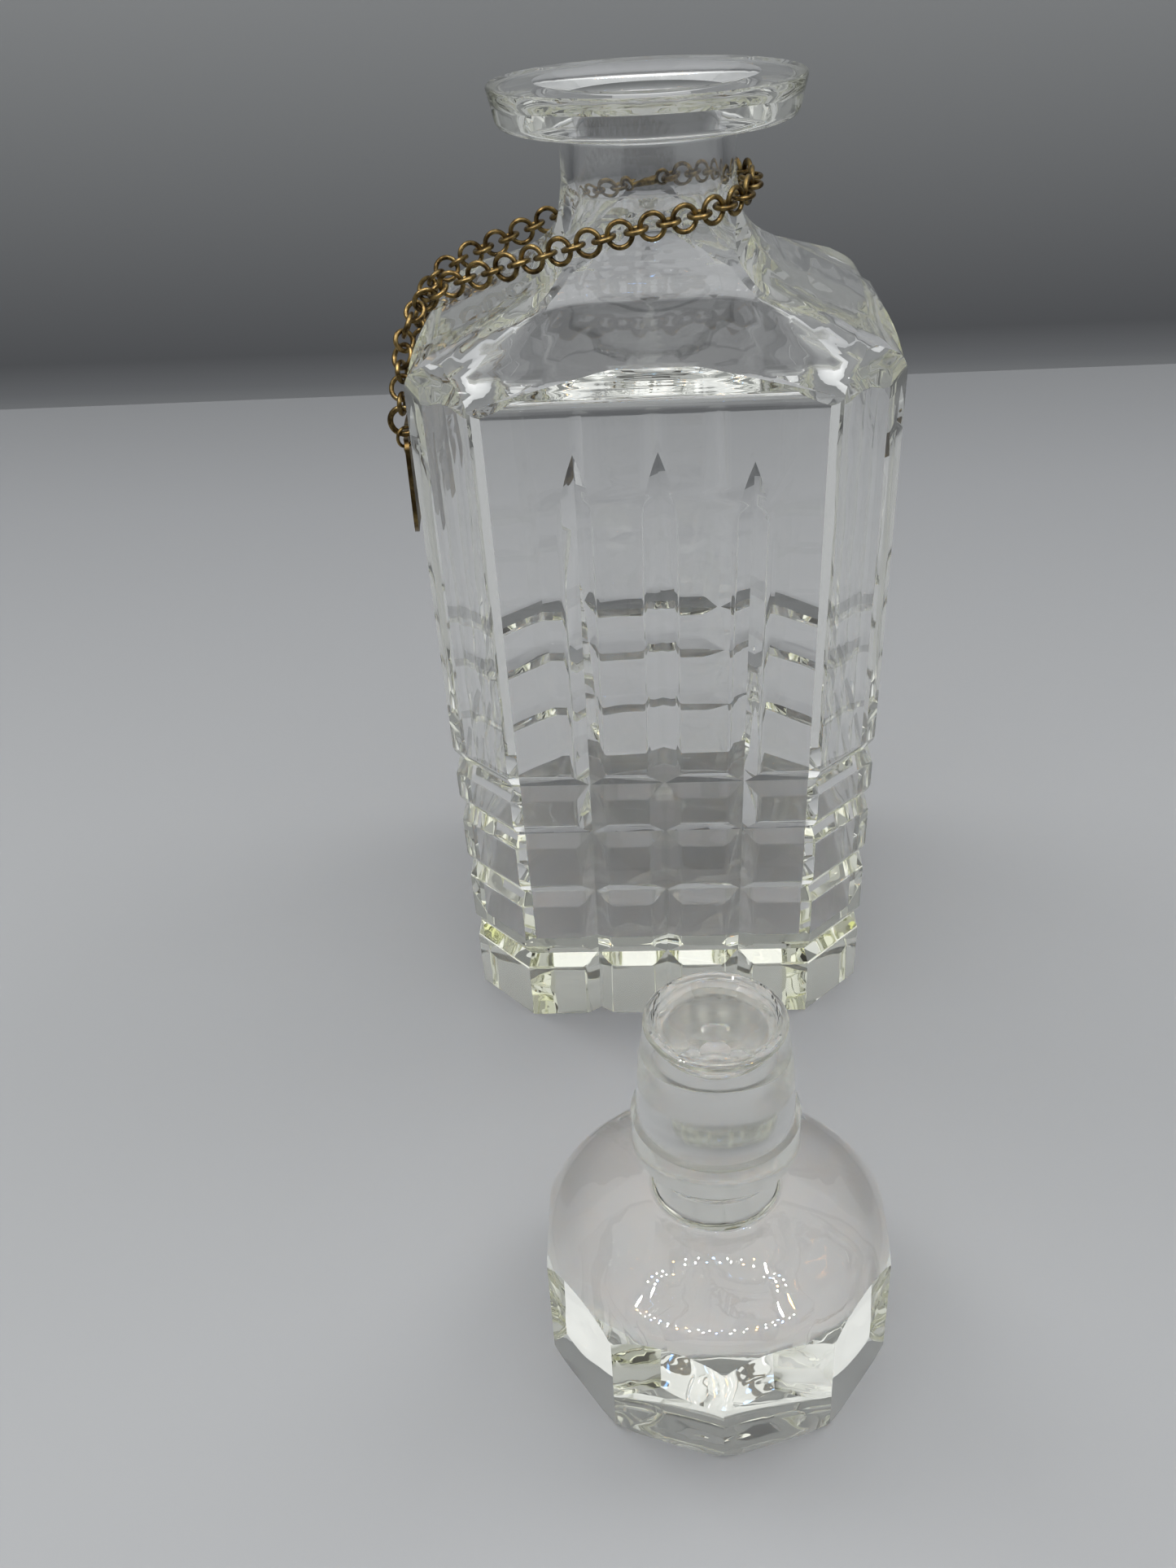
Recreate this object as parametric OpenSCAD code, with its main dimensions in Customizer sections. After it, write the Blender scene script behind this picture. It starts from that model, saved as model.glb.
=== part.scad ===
// Cut crystal decanter: a square bottle with chamfered corners, its hollow
// plugged stopper standing beside it, and a curved label hung on a fine chain.
// Millimetres, +Z up, origin at the centre of the bottle's base.

/* [Bottle] */
// Width across the flats at the base
base_w = 90; // [80:1:100]
// Width across the flats where the straight side ends
shoulder_w = 94.5; // [84:0.5:104]
// Height where the straight side ends and the shoulder's rounding starts
side_h = 147; // [135:1:155]
// Leg of the flat that cuts off each vertical corner
corner_cut = 13; // [8:0.5:16]
// Radius of the rounded shoulder edge
edge_r = 6; // [3:0.5:8]
// Slope of the four shoulder faces, degrees
shoulder_slope = 24; // [20:1:30]
// How far the round cone in the middle of each face stands over the faces
crown_rise = 2.3; // [1:0.1:3]
// How far the ridges between the shoulder faces are eased
ridge_ease = 1.3; // [0.5:0.1:2]
// Slope of that cone, degrees
crown_slope = 28; // [24:1:32]
// Outer radius of the neck
neck_r = 17.2; // [16.8:0.1:18.5]
// Height of the top of the lip
lip_h = 195.5; // [190:0.5:205]
// Radius of the lip
lip_r = 30.7; // [28:0.1:33]
// Thickness of the lip's edge
lip_t = 7.8; // [6:0.1:10]

/* [Inside of the bottle] */
// Thickness of the solid glass base
floor_h = 21; // [16:1:26]
// Thickness of the walls
wall_t = 5; // [4.5:0.1:6]
// Radius of the ground bore that the stopper's plug enters
bore_r = 14.6; // [14.5:0.05:14.8]
// Lower end of the bore
bore_low = 164; // [160:1:168]
// Upper end of the bore, where the mouth opens
bore_high = 187; // [182:1:189]
// Radius of the mouth's inner edge
mouth_r = 16.8; // [16:0.1:18]
// Radius of the shallow dish in the top of the lip
dish_r = 20.8; // [19:0.1:23]

/* [Cutting] */
// Width of the V cuts at the surface
cut_w = 6.4; // [5:0.1:7]
// Depth of the V cuts
cut_d = 2.1; // [1.5:0.1:2.5]
// How far polishing has eased each edge of a V cut
cut_ease = 0.6; // [0.3:0.1:1]
// Distance between neighbouring upright flutes
flute_pitch = 16; // [14:0.5:18]
// Height of the flutes' spear tips
flute_tip = 138.5; // [125:0.5:140]
// Radius of the cutting wheel, which shapes the spear tips
wheel_r = 58; // [40:1:80]

/* [Stopper] */
// Radius of the ten-sided head at its corners
head_r = 31.5; // [28:0.1:34]
// Height of the head's facets at the corners
facet_h = 22.5; // [18:0.5:25]
// Height of the head where the waist starts
head_h = 34; // [32:0.5:36]
// Radius of the waist between head and plug
waist_r = 10.9; // [10:0.1:12]
// Largest radius of the plug, the band that seats in the bore
seat_r = 14.4; // [14.2:0.05:14.45]
// Height of the plug's end over the table
plug_top = 72; // [68:0.5:80]
// Place of the stopper's axis on the table, towards +X
stopper_x = 7.5; // [0:0.5:20]
// Place of the stopper's axis on the table, towards -Y
stopper_y = -126.5; // [-140:0.5:-100]

/* [Chain and label] */
// Thickness of the chain's wire
wire_d = 1.0; // [0.8:0.05:1.0]
// Outer diameter of the small links
small_link = 4.9; // [4.8:0.1:5.2]
// Outer diameter of the large links
large_link = 5.7; // [5.6:0.1:6]
// Outer diameter of the ring at each end of the chain
end_ring = 6.6; // [6.4:0.1:7]
// Wire of the ring at each end of the chain
end_wire = 1.2; // [1:0.05:1.25]
// Outer diameter of the ring in each of the label's holes
label_ring = 4.6; // [4.5:0.1:4.8]
// Wire of the rings in the label's holes
label_wire = 0.7; // [0.6:0.05:0.75]
// Width of the label
label_w = 43; // [40:1:46]
// Height of the label
label_h = 22; // [20:0.5:26]
// Thickness of the label
label_t = 0.9; // [0.6:0.05:1]
// Radius of the label's curve
label_curve = 110; // [100:5:200]

/* [Hidden] */
$fn = 64;
eps = 0.01;
base_half = base_w / 2;
top_half = shoulder_w / 2;
taper = (top_half - base_half) / side_h;
face_lean = atan(taper);
root2 = sqrt(2);
top_z = lip_h + 10;

// Lower and upper edge of the stopper's seat band, over the table
seat_low = head_h + 11.2;
seat_high = head_h + 17.5;

// Heights of the four V cuts that run round the bottle
ring_cuts = [64, 51.5, 35.3, 17.3];

// Sideways lean of a face's three flutes, and how far each stops short of the
// tallest tip, as the hand-held wheel left them
flute_leans = [0.3, 0.2, 1.0];
flute_shorts = [0, 0, 2.5];

// Distance of a face, and of a corner's flat, from the axis at a height
function face_at(z) = base_half + taper * z;
function corner_at(z) = (2 * face_at(z) - corner_cut) / root2;

// Points of an arc, from angle a to angle b
function arc(x, z, r, a, b, n) =
    [for (i = [0:n]) [x + r * cos(a + (b - a) * i / n), z + r * sin(a + (b - a) * i / n)]];

// Right half of the outline of a shoulder: a straight side, a rounded edge,
// a slope, then a hollow arc that ends upright at the neck
function shoulder_outline(low, high, z0, z1, r, slope, neck, cove) =
    let (
        turn = 90 - slope,
        ex = high - r * (1 - cos(turn)),
        ez = z1 + r * sin(turn),
        cx = neck + cove * (1 - cos(turn)),
        cz = ez + tan(slope) * (ex - cx) + cove * sin(turn)
    )
    concat(
        [[low, z0]],
        arc(high - r, z1, r, 0, turn, 6),
        arc(neck + cove, cz, cove, 180 + turn, 180, 8),
        [[neck, top_z]]
    );

// Outline mirrored to both sides of the axis
module both_sides(half) {
    polygon(concat(half, [for (i = [len(half) - 1:-1:0]) [-half[i][0], half[i][1]]]));
}

// Solid with the same outline seen from the front and from the side
module mitred(half, size = 160) {
    intersection_for (turn = [0, 90])
        rotate([90, 0, turn])
            linear_extrude(size, center = true)
                both_sides(half);
}

// Round solid from the same kind of outline
module turned(half) {
    rotate_extrude()
        polygon(concat([[0, half[0][1]]], half, [[0, top_z]]));
}

// Square body with its four shoulder faces, which meet in ridges.
// inset: how far inside the outer surface; lift: extra height of the shoulder
module square_body(inset, lift, low, neck, cove) {
    r = edge_r - inset / 2;
    z1 = side_h - inset + lift;
    half = shoulder_outline(face_at(low) - inset, top_half - inset, low, z1, r,
                            shoulder_slope, neck, cove);
    intersection() {
        mitred(half);
        rotate([0, 0, 45])
            mitred([for (point = half) [point[0] * root2 - ridge_ease, point[1]]]);
    }
}

// Cuts the four upright corners off, with a small rounded edge at the shoulder
module corner_flats(inset, low) {
    r = 3;
    z1 = side_h - inset + 4;
    high = corner_at(side_h) - inset;
    rotate([0, 0, 45])
        mitred(concat(
            [[corner_at(low) - inset, low]],
            arc(high - r, z1, r, 0, 60, 4),
            [[high - 5, top_z]]
        ));
}

// Cone that swells the middle of each shoulder face and sweeps up to the neck
module crown(inset, low, neck, flare) {
    wide = 1.5 * top_half;
    at_edge = side_h + edge_r + 1.8;
    z1 = at_edge - (wide - (top_half - 4)) * tan(crown_slope);
    turned(shoulder_outline(wide, wide, low, z1 - inset, 0.3, crown_slope, neck, flare));
}

// The bottle's outside (inset 0) or its cavity (inset wall_t) up to the neck
module bottle_shape(inset, low, neck) {
    intersection() {
        corner_flats(inset, low);
        union() {
            square_body(inset, 0, low, neck / root2, 13);
            intersection() {
                square_body(inset, crown_rise, low, neck + 0.4, 13);
                crown(inset, low, neck, 17);
            }
        }
    }
}

module lip_and_neck() {
    rise = lip_h - lip_t;
    fillet = 2.5;
    rotate_extrude()
        polygon(concat(
            [[0, bore_low], [neck_r, bore_low]],
            arc(neck_r + fillet, rise - fillet, fillet, 180, 90, 6),
            arc(lip_r - 3.2, rise + 2, 2, 270, 350, 5),
            arc(lip_r - 0.6, lip_h - 0.6, 0.6, 0, 90, 3),
            [[0, lip_h]]
        ));
}

module mouth() {
    rotate_extrude()
        polygon([
            [0, bore_high - eps], [bore_r, bore_high - eps], [mouth_r, lip_h - 3],
            [dish_r, lip_h - 1], [dish_r + 1, lip_h + eps], [0, lip_h + eps]
        ]);
}

// Half outline of a V cut, from its nose out past the surface: the wheel's
// slope, then half that slope where polishing has eased the edge
function v_half() =
    let (
        steep = atan(2 * cut_d / cut_w),
        x = cut_w / 2 - cut_ease,
        y = x * tan(steep),
        clear = cut_d + 1
    )
    [[0, 0], [x, y], [x + (clear - y) / tan(steep / 2), clear]];

// V cut's outline, its nose at the origin and its mouth towards -Y
module v_section() {
    mirror([0, 1])
        both_sides(v_half());
}

// Level cut of one side: face or corner flat at a distance from the axis. It
// is a little shallower than the flutes
module level_cut(distance, z, length) {
    translate([0, -distance + cut_d - 0.15, z])
        rotate([0, 90, 0])
            linear_extrude(length, center = true)
                v_section();
}

// Upright flute with the spear tip that the wheel leaves; it leans a little
module flute(x, lean, short) {
    run = sqrt(2 * wheel_r * cut_d);
    straight = flute_tip - short - run;
    translate([x, -base_half, 0])
        rotate([face_lean, lean, 0]) {
            translate([0, cut_d, -2])
                linear_extrude(straight + 2)
                    v_section();
            translate([0, cut_d - wheel_r, straight])
                rotate([0, 90, 0])
                    rotate_extrude($fn = 128)
                        translate([wheel_r, 0])
                            rotate(-90)
                                v_section();
        }
}

module bottle() {
    color([0.86, 0.9, 0.88, 0.45])
        difference() {
            union() {
                intersection() {
                    bottle_shape(0, 0, neck_r);
                    translate([-60, -60, 0])
                        cube([120, 120, bore_high - 8]);
                }
                lip_and_neck();
            }
            intersection() {
                bottle_shape(wall_t, floor_h, bore_r);
                translate([-60, -60, floor_h])
                    cube([120, 120, bore_high - 9 - floor_h]);
            }
            translate([0, 0, bore_low])
                cylinder(h = bore_high - bore_low, r = bore_r);
            mouth();
            for (side = [0:3]) {
                rotate([0, 0, 90 * side])
                    for (i = [0:2])
                        flute((i - 1) * flute_pitch, flute_leans[i], flute_shorts[i]);
                for (z = ring_cuts) {
                    rotate([0, 0, 90 * side])
                        level_cut(face_at(z), z, 110);
                    rotate([0, 0, 90 * side + 45])
                        level_cut(corner_at(z), z, 60);
                }
            }
        }
}

// Half outline of the stopper, from the table up to the end of the plug: the
// head's dome, the waist, the seat band and the tapered end
function stopper_outline() = concat(
    [[0, 0], [head_r - 1, 0], [head_r + 1, 2], [head_r + 1, facet_h - 4.5]],
    arc(head_r - 9.3, facet_h - 3.4, 10, 15, 66, 7),
    [[21, head_h - 3], [17, head_h - 1.4], [14.4, head_h - 0.6]],
    arc(waist_r + 2, head_h + 1.8, 2, 250, 180, 5),
    [[waist_r, head_h + 6], [waist_r + 0.8, head_h + 8.2], [seat_r - 1.1, head_h + 10.4]],
    [[seat_r, seat_low], [seat_r, seat_high], [seat_r - 0.9, seat_high + 0.7]],
    [[seat_r - 1.1, seat_high + 5], [seat_r - 1.45, seat_high + 11]],
    [[seat_r - 2.1, plug_top - 4.5]],
    arc(seat_r - 3.6, plug_top - 1.2, 1.2, 25, 150, 6)
);

// Bowl ground into the end of the plug
module plug_bowl() {
    rim = seat_r - 4.7;
    rotate_extrude()
        polygon([[0, plug_top - 8], [2.6, plug_top - 7.6], [5, plug_top - 6],
                 [rim - 1.4, plug_top - 3], [rim, plug_top - 0.6], [rim + 0.4, plug_top + 1],
                 [0, plug_top + 1]]);
}

module stopper() {
    color([0.9, 0.93, 0.92, 0.5])
        translate([stopper_x, stopper_y, 0])
            difference() {
                intersection() {
                    rotate([0, 0, 18])
                        cylinder(h = plug_top + 1, r = head_r, $fn = 10);
                    rotate_extrude()
                        polygon(concat(stopper_outline(), [[0, plug_top - 0.6]]));
                }
                plug_bowl();
            }
}

/* Route of the chain's centre line, from the front end ring up over the
   shoulder, round the neck and down to the back end ring */
front_end = [-50.5, -20, 137];
back_end = [-50.5, 17, 137];
route = [
    front_end, [-50.4, -19.7, 140.6], [-50.2, -17.8, 144.5], [-49.9, -14.6, 149.5],
    [-48.6, -11.8, 154.2], [-45.5, -10.3, 157.7], [-40, -10.3, 160.8], [-30, -13, 164],
    [-20, -17.6, 167.3], [-10, -21.2, 170.3], [0, -21.3, 172.4], [10, -18.3, 173.7],
    [17, -11.7, 174.8], [20, -3, 175.9], [19.5, 6.1, 176.3], [15, 14, 175.3],
    [7.6, 19.3, 174.1], [-1, 20.8, 172.9], [-10, 20.5, 170.7], [-20, 19.5, 167],
    [-32, 18.2, 162.7], [-40, 15.8, 160], [-45.3, 14.3, 157.1], [-48.5, 13.8, 153.6],
    [-50, 14.3, 149], [-50.3, 16, 144], [-50.4, 16.8, 140.6], back_end
];
samples = 8;
last = len(route) - 1;

// Smooth curve through the route's points
function knot(i) = route[min(max(i, 0), last)];
function curve(i, t) =
    0.5 * (2 * knot(i) + (knot(i + 1) - knot(i - 1)) * t
           + (2 * knot(i - 1) - 5 * knot(i) + 4 * knot(i + 1) - knot(i + 2)) * t * t
           + (3 * knot(i) - knot(i - 1) - 3 * knot(i + 1) + knot(i + 2)) * t * t * t);
line = concat([for (i = [0:last - 1]) for (j = [0:samples - 1]) curve(i, j / samples)], [route[last]]);
function lengths(i = 0, sum = 0, out = []) =
    i == len(line) ? out
    : let (s = sum + (i == 0 ? 0 : norm(line[i] - line[i - 1])))
      lengths(i + 1, s, concat(out, [s]));
run_at = lengths();
total = run_at[len(run_at) - 1];

// Point and direction at a distance along the route
function before(s, i = 0) = i >= len(line) - 2 || run_at[i + 1] > s ? i : before(s, i + 1);
function point_at(s) =
    let (i = before(s), t = (s - run_at[i]) / (run_at[i + 1] - run_at[i]))
    line[i] + (line[i + 1] - line[i]) * t;
function unit(v) = v / norm(v);
function heading(s) = unit(point_at(s + 0.8) - point_at(s - 0.8));

// Clearance between the wires of two rings that hang in each other
slack = 0.1;
function hook(outer_a, wire_a, outer_b, wire_b) = (outer_a + outer_b) / 2 - wire_a - wire_b - slack;

// Clasp: a bar with an eye at each end, behind the neck
eye_d = 3.5;
eye_wire = 0.9;
bar_length = 6.4;
eye_gap = bar_length + eye_d - eye_wire;
clasp_at = 141;

// Links from each end ring to the clasp, small and large in turn
pitch_max = (small_link + large_link) / 2 - 2 * wire_d - slack;
ring_to_link = hook(end_ring, end_wire, small_link, wire_d);
eye_to_link = hook(eye_d, eye_wire, small_link, wire_d);
front_run = clasp_at - eye_gap / 2 - ring_to_link - eye_to_link;
back_run = total - clasp_at - eye_gap / 2 - ring_to_link - eye_to_link;
front_links = 2 * ceil(front_run / pitch_max / 2) + 1;
back_links = 2 * ceil(back_run / pitch_max / 2) + 1;
front_pitch = front_run / (front_links - 1);
back_pitch = back_run / (back_links - 1);
link_total = front_links + back_links;

// Distance of a link along the route, counted from the front end ring
function link_run(i) =
    i < front_links ? ring_to_link + i * front_pitch
    : clasp_at + eye_gap / 2 + eye_to_link + (i - front_links) * back_pitch;

// The links that follow the clasp are kept together as one piece
group_start = front_links;
group_size = 14;
function link_is_large(i) = (i < front_links ? i : i - front_links) % 2 == 1;

// Columns of a turn that lays Z along a ring's axis, X along the route
module along(origin, tangent, normal) {
    other = cross(normal, tangent);
    multmatrix([[tangent[0], other[0], normal[0], origin[0]],
                [tangent[1], other[1], normal[1], origin[1]],
                [tangent[2], other[2], normal[2], origin[2]],
                [0, 0, 0, 1]])
        children();
}

module ring(outer, wire) {
    rotate_extrude($fn = 32)
        translate([(outer - wire) / 2, 0])
            circle(d = wire, $fn = 16);
}

// Turn of a link about the chain: the large links stand on edge and the small
// ones lie flat, easing round towards the end rings, which need it the other way
ease = 10;
function link_turn(i) =
    let (from_end = min(i, link_total - 1 - i))
    (link_is_large(i) ? -90 : 0) + 90 * min(1, from_end / ease);

module chain_link(i) {
    s = link_run(i);
    t = heading(s);
    side = unit(cross(t, [0, 0, 1]));
    up = cross(side, t);
    turn = link_turn(i);
    color("darkgoldenrod")
        along(point_at(s), t, side * cos(turn) + up * sin(turn))
            ring(link_is_large(i) ? large_link : small_link, wire_d);
}

module clasp_bar() {
    t = heading(clasp_at);
    side = unit(cross(t, [0, 0, 1]));
    color("goldenrod")
        along(point_at(clasp_at), t, side) {
            rotate([0, 90, 0])
                cylinder(h = bar_length, d = 1.7, center = true, $fn = 24);
            for (end = [-1, 1])
                translate([end * eye_gap / 2, 0, 0])
                    ring(eye_d, eye_wire);
        }
}

module end_ring_at(place) {
    color("peru")
        translate(place)
            rotate([90, 0, 0])
                ring(end_ring, end_wire);
}

// Heights of the rings that carry the label
label_ring_z = front_end[2] - hook(end_ring, end_wire, label_ring, label_wire) + 0.3;
hole_r = 1.4;
hole_z = label_ring_z - (label_ring - label_wire) / 2 - 0.7;
label_mid = (front_end[1] + back_end[1]) / 2;
hole_span = back_end[1] - front_end[1];

module label_ring_at(place, lean) {
    color("peru")
        translate([place[0], place[1], label_ring_z])
            rotate([90, 0, lean])
                ring(label_ring, label_wire);
}

// Outline of the label: small rounded corners above, large ones below
module label_outline() {
    top = hole_z + hole_r + 0.9;
    low = top - label_h;
    half = label_w / 2;
    polygon(concat(
        arc(half - 2, top - 2, 2, 0, 90, 5),
        arc(-half + 2, top - 2, 2, 90, 180, 5),
        arc(-half + 9, low + 9, 9, 180, 270, 9),
        arc(half - 9, low + 9, 9, 270, 360, 9)
    ));
}

module label_plate() {
    sag = label_curve - sqrt(label_curve * label_curve - hole_span * hole_span / 4);
    axis_x = front_end[0] - sag - label_t / 2 + label_curve;
    color("darkgoldenrod")
        difference() {
            intersection() {
                translate([axis_x, label_mid, hole_z - label_h])
                    difference() {
                        cylinder(h = label_h + 4, r = label_curve, $fn = 180);
                        translate([0, 0, -1])
                            cylinder(h = label_h + 6, r = label_curve - label_t, $fn = 180);
                    }
                translate([-60, label_mid, 0])
                    rotate([90, 0, 90])
                        linear_extrude(15)
                            label_outline();
            }
            for (y = [front_end[1], back_end[1]])
                translate([-60, y, hole_z])
                    rotate([0, 90, 0])
                        cylinder(h = 20, r = hole_r, $fn = 32);
        }
}

function two_digits(i) = str(i < 10 ? "0" : "", i);
function in_group(i) = i >= group_start && i < group_start + group_size;
link_names = [for (i = [0:link_total - 1])
    in_group(i) ? "chain_links_behind_neck" : str("chain_link_", two_digits(i + 1))];

bottle();
stopper();
label_plate();
label_ring_at(front_end, 45);  // label_ring_front
label_ring_at(back_end, -45);  // label_ring_back
end_ring_at(front_end);  // end_ring_front
end_ring_at(back_end);  // end_ring_back
clasp_bar();
for (i = [0:link_total - 1])
    chain_link(i);
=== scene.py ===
"""Cut crystal decanter with its stopper, chain and label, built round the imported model."""

from math import cos, pi, radians, sin

import bmesh
import bpy
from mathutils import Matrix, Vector


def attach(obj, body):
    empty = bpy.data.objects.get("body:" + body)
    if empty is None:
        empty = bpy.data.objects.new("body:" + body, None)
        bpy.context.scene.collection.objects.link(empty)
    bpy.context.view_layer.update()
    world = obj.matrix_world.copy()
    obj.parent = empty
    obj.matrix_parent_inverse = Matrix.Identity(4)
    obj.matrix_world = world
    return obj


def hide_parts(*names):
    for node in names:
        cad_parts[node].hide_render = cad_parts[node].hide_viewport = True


bl_info = {
    "name": "Cut Crystal Decanter",
    "version": (1, 0, 0),
    "blender": (4, 5, 0),
    "location": "View3D > Sidebar > Decanter",
    "description": "Builds a cut crystal decanter, its stopper and its label on a chain",
    "category": "Add Mesh",
}

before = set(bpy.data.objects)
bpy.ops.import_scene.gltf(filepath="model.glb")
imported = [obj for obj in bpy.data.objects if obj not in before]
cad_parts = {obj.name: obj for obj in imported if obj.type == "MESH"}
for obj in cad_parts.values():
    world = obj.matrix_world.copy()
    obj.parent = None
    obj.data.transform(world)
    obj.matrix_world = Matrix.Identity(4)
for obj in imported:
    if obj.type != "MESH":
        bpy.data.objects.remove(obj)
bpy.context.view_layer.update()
MM = 0.001
BACKDROP_Y = 1.0
CAMERA_AT = (0, -0.3007, 0.2299)
CAMERA_TURN = (radians(57.162), radians(2.814), radians(1.771))
DIODES_IN_ROW = 36
DIODE_R = 4.0 * MM
GAP = 0.15 * MM  # air between a glass base and the table, without which the glass goes dark
GROUND_LOW, GROUND_HIGH = 45 * MM, 63.5 * MM  # heights between which the plug is ground


# ---------------------------------------------------------------- settings

class DecanterGlass(bpy.types.PropertyGroup):
    """Sizes and finish of the two crystal pieces."""

    crisp: bpy.props.FloatProperty(
        name="Crisp from", description="Angle from which an edge is a cut edge",
        default=radians(19), subtype="ANGLE")
    ior: bpy.props.FloatProperty(
        name="IOR", description="Refractive index of lead crystal", default=1.545)
    wave: bpy.props.FloatProperty(
        name="Waves", description="Height of the soft waves left in the surface",
        default=0.09 * MM, unit="LENGTH")
    tint: bpy.props.StringProperty(
        name="Tint", description="Colour of a metre of the crystal, sRGB hex", default="#f4f6b4")
    tint_density: bpy.props.FloatProperty(
        name="Tint's density", description="How strongly thick crystal takes its tint",
        default=2.0)
    ground: bpy.props.FloatProperty(
        name="Ground band", description="Roughness of the ground band on the plug",
        default=0.22, min=0.0, max=1.0)


class DecanterMetal(bpy.types.PropertyGroup):
    """Colours and sizes of the brass pieces."""

    brass: bpy.props.StringProperty(
        name="Brass", description="Colour of the rubbed brass, sRGB hex", default="#9a8454")
    patina: bpy.props.StringProperty(
        name="Patina", description="Colour of the tarnish, sRGB hex", default="#43361f")
    rim: bpy.props.FloatProperty(
        name="Label's rim", description="Width of the plain rim outside the engraved line",
        default=0.32 * MM, unit="LENGTH")
    groove: bpy.props.FloatProperty(
        name="Engraved line", description="Width of the engraved line",
        default=0.28 * MM, unit="LENGTH")
    groove_depth: bpy.props.FloatProperty(
        name="Engraving's depth", description="Depth of the engraved line",
        default=0.14 * MM, unit="LENGTH")


class DecanterStage(bpy.types.PropertyGroup):
    """Table, backdrop, light and camera."""

    table: bpy.props.StringProperty(
        name="Table", description="Colour of the table, sRGB hex", default="#b9babb")
    backdrop: bpy.props.StringProperty(
        name="Backdrop", description="Colour of the backdrop, sRGB hex", default="#6f7072")
    table_edge: bpy.props.FloatProperty(
        name="Table's edge", description="Distance from the bottle to the table's far edge",
        default=0.438, unit="LENGTH")
    key: bpy.props.FloatProperty(
        name="Softboxes", description="Power of each softbox, watts", default=2.4)
    softbox: bpy.props.FloatProperty(
        name="Softboxes' size", description="Width of each round softbox",
        default=0.6, unit="LENGTH")
    room: bpy.props.FloatProperty(
        name="Room light", description="Strength of the room's light", default=1.62)
    diodes: bpy.props.FloatProperty(
        name="Diodes", description="Strength of the diodes overhead", default=200.0)
    lens: bpy.props.FloatProperty(
        name="Lens", description="Focal length, millimetres", default=32.81)


# ---------------------------------------------------------------- materials

def linear(hex_colour):
    """Linear RGBA of an sRGB hex colour."""
    parts = [int(hex_colour[i:i + 2], 16) / 255 for i in (1, 3, 5)]
    return [p / 12.92 if p <= 0.04045 else ((p + 0.055) / 1.055) ** 2.4 for p in parts] + [1.0]


def add_node(tree, kind, settings=None, links=None, **sockets):
    """Adds a node, with its settings, its input values and its links from other nodes."""
    node = tree.nodes.new(kind)
    for key, value in (settings or {}).items():
        setattr(node, key, value)
    for key, value in sockets.items():
        node.inputs[key.replace("_", " ")].default_value = value
    for key, (source, output) in (links or {}).items():
        tree.links.new(source.outputs[output], node.inputs[key])
    return node


def new_material(name):
    """An empty node material: the material, its tree, its output and its Object coordinates."""
    material = bpy.data.materials.new(name)
    material.use_nodes = True
    tree = material.node_tree
    tree.nodes.clear()
    output = add_node(tree, "ShaderNodeOutputMaterial")
    place = add_node(tree, "ShaderNodeTexCoord")
    return material, tree, output, place


def ramp(tree, source, output, stops):
    """A colour ramp of (position, hex) stops over a value."""
    node = add_node(tree, "ShaderNodeValToRGB", links={"Fac": (source, output)})
    colours = node.color_ramp.elements
    while len(colours) < len(stops):
        colours.new(0.5)
    for element, (position, colour) in zip(colours, stops):
        element.position = position
        element.color = linear(colour)
    return node


def crystal(name, ground_from=None, ground_to=None):
    """Hand-cut lead crystal, acid polished: clear, a little wavy, faintly straw in the thick.

    Between ground_from and ground_to, heights over the table, it is ground with emery to
    seat in the neck, which leaves fine rings that catch the light."""
    glass = bpy.context.scene.decanter_glass
    material, tree, output, place = new_material(name)
    # Blowing and polishing leave soft waves about 14 mm apart, which bend what is seen through
    waves = add_node(tree, "ShaderNodeTexNoise", Scale=70.0, Detail=1.0,
                     links={"Vector": (place, "Object")})
    bump = add_node(tree, "ShaderNodeBump", Strength=1.0, Distance=glass.wave,
                    links={"Height": (waves, "Fac")})
    shader = add_node(tree, "ShaderNodeBsdfPrincipled", IOR=glass.ior,
                      links={"Normal": (bump, "Normal")})
    shader.inputs["Base Color"].default_value = linear("#ffffff")
    shader.inputs["Transmission Weight"].default_value = 1.0
    shader.inputs["Roughness"].default_value = 0.0
    if ground_from is not None:
        height = add_node(tree, "ShaderNodeSeparateXYZ", links={"Vector": (place, "Object")})
        rise = add_node(tree, "ShaderNodeMapRange", From_Min=ground_from - 0.4 * MM,
                        From_Max=ground_from + 0.4 * MM, links={"Value": (height, "Z")})
        fall = add_node(tree, "ShaderNodeMapRange", From_Min=ground_to - 0.4 * MM,
                        From_Max=ground_to + 0.4 * MM, To_Min=1.0, To_Max=0.0,
                        links={"Value": (height, "Z")})
        band = add_node(tree, "ShaderNodeMath", {"operation": "MULTIPLY"},
                        links={0: (rise, 0), 1: (fall, 0)})
        # Emery marks run round the plug, about 0.5 mm apart
        marks = add_node(tree, "ShaderNodeTexNoise", {"noise_dimensions": "1D"},
                         Scale=1900.0, Detail=2.0, links={"W": (height, "Z")})
        depth = add_node(tree, "ShaderNodeMapRange", To_Min=0.35 * glass.ground,
                         To_Max=glass.ground, links={"Value": (marks, "Fac")})
        rough = add_node(tree, "ShaderNodeMath", {"operation": "MULTIPLY"},
                         links={0: (band, 0), 1: (depth, 0)})
        tree.links.new(rough.outputs[0], shader.inputs["Roughness"])
    # Iron in the melt, which shows as straw where the glass is thick
    tint = add_node(tree, "ShaderNodeVolumeAbsorption", Density=glass.tint_density)
    tint.inputs["Color"].default_value = linear(glass.tint)
    tree.links.new(shader.outputs["BSDF"], output.inputs["Surface"])
    tree.links.new(tint.outputs["Volume"], output.inputs["Volume"])
    return material


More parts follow.
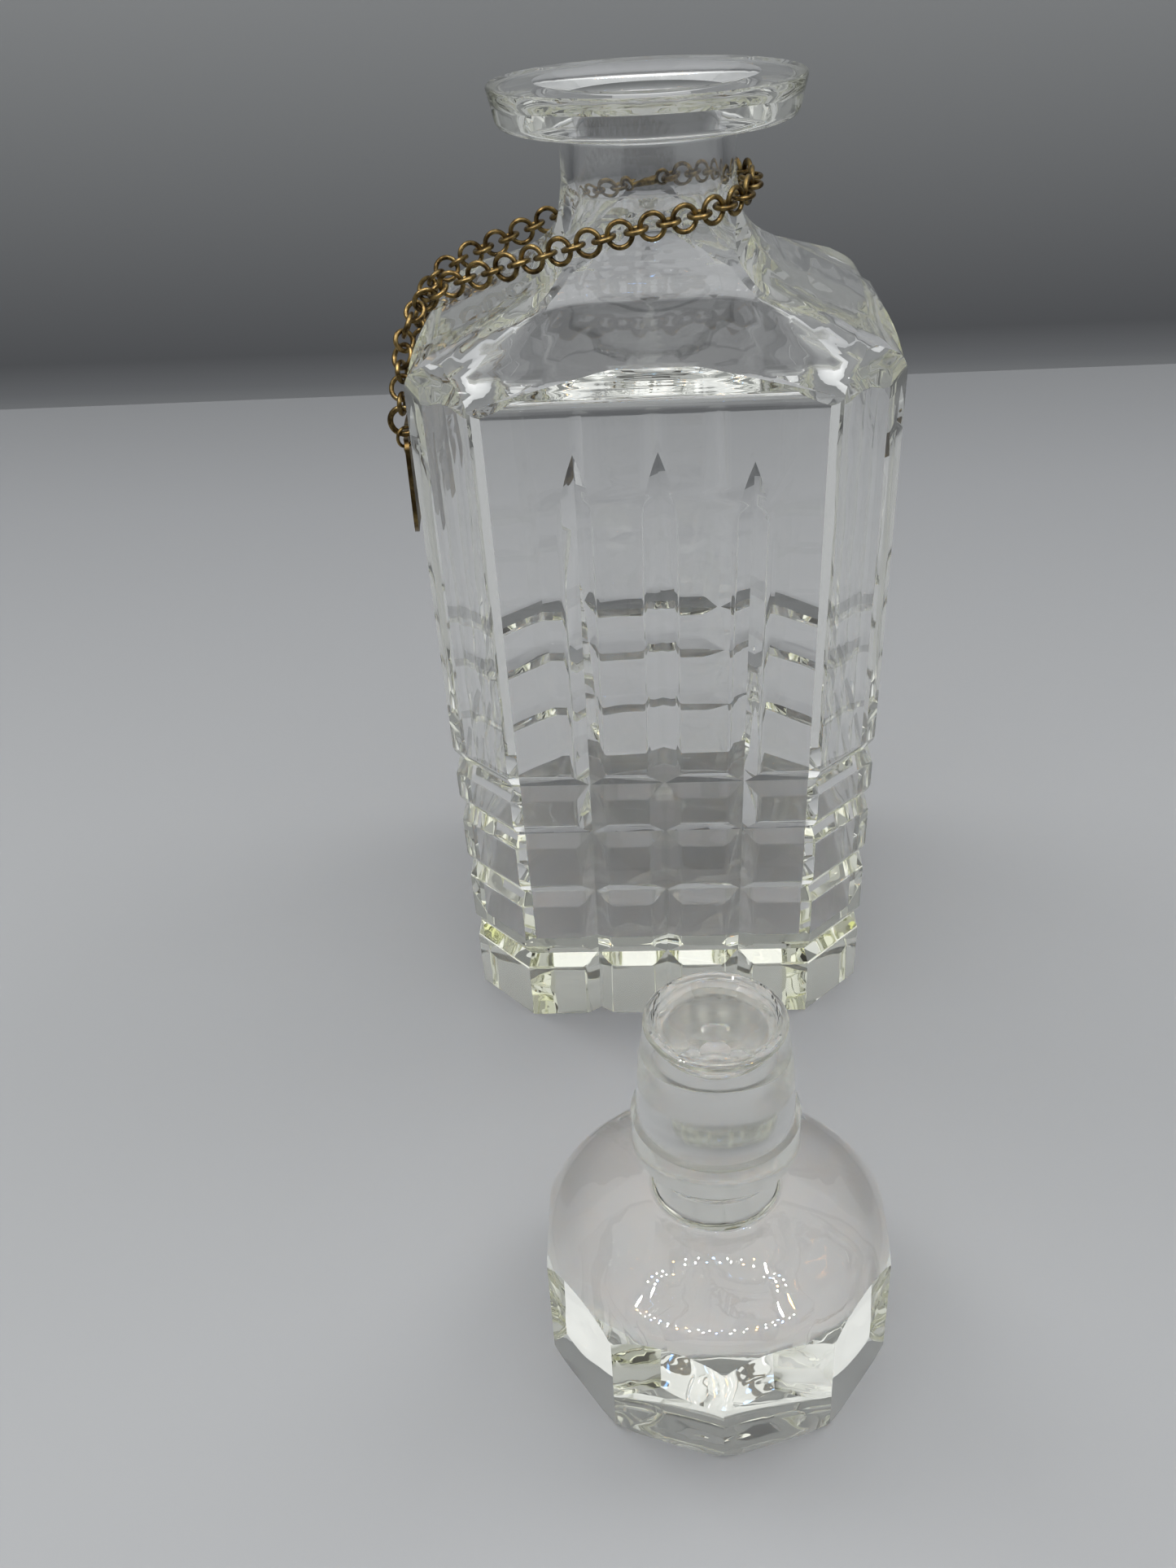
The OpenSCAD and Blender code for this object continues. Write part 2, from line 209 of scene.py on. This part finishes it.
def aged_brass(name, pattern_mm, rubbed):
    """Drawn brass gone brown with age and rubbed bright where it is handled."""
    metal = bpy.context.scene.decanter_metal
    material, tree, output, place = new_material(name)
    spots = add_node(tree, "ShaderNodeTexNoise", Scale=1.0 / (pattern_mm * MM), Detail=4.0,
                     Roughness=0.6, links={"Vector": (place, "Object")})
    tone = ramp(tree, spots, "Fac", [(0.38 - rubbed, metal.patina), (0.68 - rubbed, metal.brass)])
    gloss = add_node(tree, "ShaderNodeMapRange", From_Min=0.3, From_Max=0.7, To_Min=0.5,
                     To_Max=0.3, links={"Value": (spots, "Fac")})
    # Scuffs about 0.2 mm across
    scuffs = add_node(tree, "ShaderNodeTexNoise", Scale=5200.0, Detail=3.0,
                      links={"Vector": (place, "Object")})
    bump = add_node(tree, "ShaderNodeBump", Strength=0.25, Distance=0.03 * MM,
                    links={"Height": (scuffs, "Fac")})
    shader = add_node(tree, "ShaderNodeBsdfPrincipled", Metallic=1.0,
                      links={"Base Color": (tone, "Color"), "Roughness": (gloss, 0),
                             "Normal": (bump, "Normal")})
    tree.links.new(shader.outputs["BSDF"], output.inputs["Surface"])
    return material


# ---------------------------------------------------------------- meshes

def place_mesh(bm, name):
    """A new object from a bmesh, at the origin."""
    mesh = bpy.data.meshes.new(name)
    bm.to_mesh(mesh)
    bm.free()
    obj = bpy.data.objects.new(name, mesh)
    bpy.context.scene.collection.objects.link(obj)
    return obj


def merged(node):
    """A bmesh of a CAD node with its doubles merged."""
    bm = bmesh.new()
    bm.from_mesh(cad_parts[node].data)
    bmesh.ops.remove_doubles(bm, verts=bm.verts, dist=0.004 * MM)
    return bm


def crisp_edges(bm, angle):
    """Smooth faces, with the edges sharper than an angle kept sharp."""
    for face in bm.faces:
        face.smooth = True
    for edge in bm.edges:
        if edge.is_manifold and edge.calc_face_angle(0.0) > angle:
            edge.smooth = False


def flat_faces(obj):
    """Lets wide faces keep their own normals, so that only the narrow eased edges round."""
    normals = obj.modifiers.new("flat_faces", "WEIGHTED_NORMAL")
    normals.keep_sharp = True
    normals.weight = 80


def finish_piece(obj, node, body, material):
    """Gives a piece its finish, hides the CAD node it stands in for, and puts it on the body it
    rides on.
    """
    obj.data.materials.append(material)
    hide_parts(node)
    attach(obj, body)


# ---------------------------------------------------------------- operators

class DECANTER_OT_bottle(bpy.types.Operator):
    """Square bottle, cut and polished"""

    bl_idname = "decanter.bottle"
    bl_label = "Bottle"

    def execute(self, context):
        glass = context.scene.decanter_glass
        bm = merged("bottle")
        crisp_edges(bm, glass.crisp)
        obj = place_mesh(bm, "cut_crystal_bottle")
        flat_faces(obj)
        finish_piece(obj, "bottle", "decanter", crystal("polished_lead_crystal"))
        return {"FINISHED"}


class DECANTER_OT_stopper(bpy.types.Operator):
    """Ten-sided stopper with its ground plug"""

    bl_idname = "decanter.stopper"
    bl_label = "Stopper"

    def execute(self, context):
        glass = context.scene.decanter_glass
        bm = merged("stopper")
        crisp_edges(bm, glass.crisp)
        obj = place_mesh(bm, "cut_crystal_stopper")
        flat_faces(obj)
        material = crystal("ground_and_polished_lead_crystal", GROUND_LOW, GROUND_HIGH)
        finish_piece(obj, "stopper", "stopper", material)
        return {"FINISHED"}


class DECANTER_OT_label(bpy.types.Operator):
    """Curved label with an engraved line, and its two rings"""

    bl_idname = "decanter.label"
    bl_label = "Label"

    def execute(self, context):
        metal = context.scene.decanter_metal
        bm = merged("label_plate")
        front = [f for f in bm.faces if f.normal.x < -0.9]
        bmesh.ops.inset_region(bm, faces=front, thickness=metal.rim, depth=0.0)
        bmesh.ops.inset_region(bm, faces=front, thickness=metal.groove,
                               depth=-metal.groove_depth)
        bmesh.ops.inset_region(bm, faces=front, thickness=metal.groove,
                               depth=metal.groove_depth)
        crisp_edges(bm, radians(25))
        obj = place_mesh(bm, "engraved_label")
        finish_piece(obj, "label_plate", "label",
                     aged_brass("aged_rolled_brass", 6.0, -0.04))
        wire = aged_brass("aged_label_ring_brass", 1.5, 0.0)
        for end in ("front", "back"):
            bm = merged("label_ring_" + end)
            crisp_edges(bm, radians(60))
            ring = place_mesh(bm, f"label_{end}_jump_ring")
            finish_piece(ring, "label_ring_" + end, "label", wire)
        return {"FINISHED"}


class DECANTER_OT_chain(bpy.types.Operator):
    """Chain of round links, with its clasp bar and end rings"""

    bl_idname = "decanter.chain"
    bl_label = "Chain"

    def execute(self, context):
        wire = aged_brass("aged_drawn_brass", 1.8, 0.0)
        starts = ("chain_link", "end_ring", "clasp_bar")
        for node in sorted(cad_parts):
            if not node.startswith(starts):
                continue
            bm = merged(node)
            crisp_edges(bm, radians(50))
            obj = place_mesh(bm, node + "_wire")
            finish_piece(obj, node, "decanter", wire)
        return {"FINISHED"}


def stage_material(name, stops, axis, low, high, roughness):
    """A matt surface whose colour goes from one tone to another along an axis, with light and
    shade painted into the tones.
    """
    material, tree, output, place = new_material(name)
    along = add_node(tree, "ShaderNodeSeparateXYZ", links={"Vector": (place, "Object")})
    span = add_node(tree, "ShaderNodeMapRange", From_Min=low, From_Max=high,
                    links={"Value": (along, axis)})
    tone = ramp(tree, span, 0, stops)
    shader = add_node(tree, "ShaderNodeBsdfPrincipled", Roughness=roughness,
                      links={"Base Color": (tone, "Color")})
    tree.links.new(shader.outputs["BSDF"], output.inputs["Surface"])
    return material


def stage_sheet(name, corners, material):
    """A flat four-cornered surface of the stage."""
    bm = bmesh.new()
    bm.faces.new([bm.verts.new(corner) for corner in corners])
    obj = place_mesh(bm, name)
    obj.data.materials.append(material)
    return obj


class DECANTER_OT_stage(bpy.types.Operator):
    """Table, backdrop, soft light and camera"""

    bl_idname = "decanter.stage"
    bl_label = "Stage"

    def execute(self, context):
        scene = context.scene
        settings = scene.decanter_stage
        self.surfaces(settings)
        self.lights(scene, settings)
        camera = bpy.data.cameras.new("camera")
        camera.lens = settings.lens
        camera.sensor_width = 36
        camera.clip_start = 0.01
        viewer = bpy.data.objects.new("camera", camera)
        viewer.location = CAMERA_AT
        viewer.rotation_euler = CAMERA_TURN
        scene.collection.objects.link(viewer)
        scene.camera = viewer
        scene.view_settings.view_transform = "Standard"
        # Light turns many times inside cut glass, and where its turns are cut short it is black
        scene.cycles.max_bounces = 48
        scene.cycles.transmission_bounces = 48
        scene.cycles.glossy_bounces = 48
        return {"FINISHED"}

    def surfaces(self, settings):
        edge = settings.table_edge
        # The table keeps its own colour near the bottle and darkens towards its far edge: painted
        # shade, where less light reaches
        table = stage_material("table_with_painted_far_shade",
                               [(0.0, settings.table), (0.55, settings.table),
                                (0.85, "#a1a2a4"), (1.0, "#8d8e90")],
                               "Y", -0.6, edge, 0.42)
        stage_sheet("table", [(-1.5, -1.5, -GAP), (1.5, -1.5, -GAP),
                              (1.5, edge, -GAP), (-1.5, edge, -GAP)], table)
        # Just above the table's far edge the backdrop has a light band, a painted highlight of
        # the table's edge; above it the backdrop goes darker, then lighter towards the top
        wall = stage_material("backdrop_with_painted_edge_highlight",
                              [(0.0, "#a4a5a6"), (0.045, "#8c8d8f"),
                               (0.12, settings.backdrop), (1.0, "#b3b4b4")], "Z", -0.18, 0.2, 0.9)
        stage_sheet("backdrop", [(-2.5, BACKDROP_Y, -1), (2.5, BACKDROP_Y, -1),
                                 (2.5, BACKDROP_Y, 1), (-2.5, BACKDROP_Y, 1)], wall)

    def lights(self, scene, settings):
        world = bpy.data.worlds.new("room")
        scene.world = world
        world.use_nodes = True
        tree = world.node_tree
        tree.nodes.clear()
        output = add_node(tree, "ShaderNodeOutputWorld")
        place = add_node(tree, "ShaderNodeTexCoord")
        height = add_node(tree, "ShaderNodeSeparateXYZ", links={"Vector": (place, "Generated")})
        tone = ramp(tree, height, "Z", [(0.0, "#6d6f71"), (0.5, "#8b8d8f"),
                                        (0.75, "#bcbebf"), (1.0, "#e2e3e4")])
        back = add_node(tree, "ShaderNodeBackground", Strength=settings.room,
                        links={"Color": (tone, "Color")})
        tree.links.new(back.outputs[0], output.inputs["Surface"])
        for name, spot in (("softbox_left", (-0.75, 0.35, 0.9)),
                           ("softbox_right", (0.8, 0.3, 0.9))):
            light = bpy.data.lights.new(name, "AREA")
            light.energy = settings.key
            light.shape = "DISK"
            light.size = settings.softbox
            lamp = bpy.data.objects.new(name, light)
            lamp.location = spot
            aim = Vector((0, 0, 0.08)) - lamp.location
            lamp.rotation_euler = aim.to_track_quat("-Z", "Y").to_euler()
            lamp.visible_glossy = False
            lamp.visible_transmission = False
            scene.collection.objects.link(lamp)
        self.diode_board(settings)
        # A dark sheet in front of the table, seen only in the glass, which paints the shade of
        # the unlit front of the studio into its reflections; it goes darker towards the top
        shade = stage_material("painted_shade_in_front_of_the_studio", [(0.0, "#3b3836"), (1.0, "#1f1d1c")],
                               "Z", 0.0, 0.4, 0.9)
        front = stage_sheet("studio_front", [(-0.35, -0.5, 0.02), (0.35, -0.5, 0.02),
                                             (0.35, -0.5, 0.4), (-0.35, -0.5, 0.4)], shade)
        front.visible_camera = False
        front.visible_diffuse = False

    def diode_board(self, settings):
        """Two oval rows of cold white diodes overhead, with a warm and a blue one here and there
        that paint the crystal's rainbow fire into its glints.

        Only glass and metal show them; they make no light on the table."""
        bm = bmesh.new()
        centre = Vector((0.0, -0.245, 0.52))
        for row, (wide, deep) in enumerate(((0.29, 0.125), (0.25, 0.1))):
            for i in range(DIODES_IN_ROW):
                turn = 2 * pi * (i + row / 2) / DIODES_IN_ROW
                spot = centre + Vector((wide * cos(turn), deep * sin(turn), 0))
                made = bmesh.ops.create_icosphere(bm, subdivisions=1, radius=DIODE_R)
                bmesh.ops.translate(bm, vec=spot, verts=made["verts"])
                # Of each six, one is warm and one blue: painted coloured glints, which stand in
                # for the rainbow fire of the crystal
                tint = {0: 1, 3: 2}.get(i % 6, 0)
                for face in {f for v in made["verts"] for f in v.link_faces}:
                    face.material_index = tint
        board = place_mesh(bm, "diode_board")
        for name, colour in (("cold_diode", "#ffffff"), ("warm_diode_for_painted_fire", "#ffb35c"),
                             ("blue_diode_for_painted_fire", "#7fb4ff")):
            material, tree, output, _ = new_material(name)
            glow = add_node(tree, "ShaderNodeEmission", Strength=settings.diodes)
            glow.inputs["Color"].default_value = linear(colour)
            tree.links.new(glow.outputs[0], output.inputs["Surface"])
            board.data.materials.append(material)
        board.visible_camera = False
        board.visible_diffuse = False
        board.visible_shadow = False


class DECANTER_PT_panel(bpy.types.Panel):
    """Lists the pieces in the sidebar"""

    bl_idname = "DECANTER_PT_panel"
    bl_label = "Decanter"
    bl_space_type = "VIEW_3D"
    bl_region_type = "UI"
    bl_category = "Decanter"

    def draw(self, context):
        for group in GROUPS:
            settings = getattr(context.scene, group)
            box = self.layout.box()
            for key in settings.__annotations__:
                box.prop(settings, key)
        for piece in PIECES:
            self.layout.operator(piece.bl_idname)


GROUPS = {"decanter_glass": DecanterGlass, "decanter_metal": DecanterMetal,
          "decanter_stage": DecanterStage}
PIECES = (DECANTER_OT_stage, DECANTER_OT_bottle, DECANTER_OT_stopper, DECANTER_OT_label,
          DECANTER_OT_chain)


def register():
    for cls in (*GROUPS.values(), *PIECES, DECANTER_PT_panel):
        bpy.utils.register_class(cls)
    for name, group in GROUPS.items():
        setattr(bpy.types.Scene, name, bpy.props.PointerProperty(type=group))


def unregister():
    for name in GROUPS:
        delattr(bpy.types.Scene, name)
    for cls in reversed((*GROUPS.values(), *PIECES, DECANTER_PT_panel)):
        bpy.utils.unregister_class(cls)


def main():
    register()
    for piece in PIECES:
        group, name = piece.bl_idname.split(".")
        getattr(getattr(bpy.ops, group), name)()


if __name__ == "__main__":
    main()
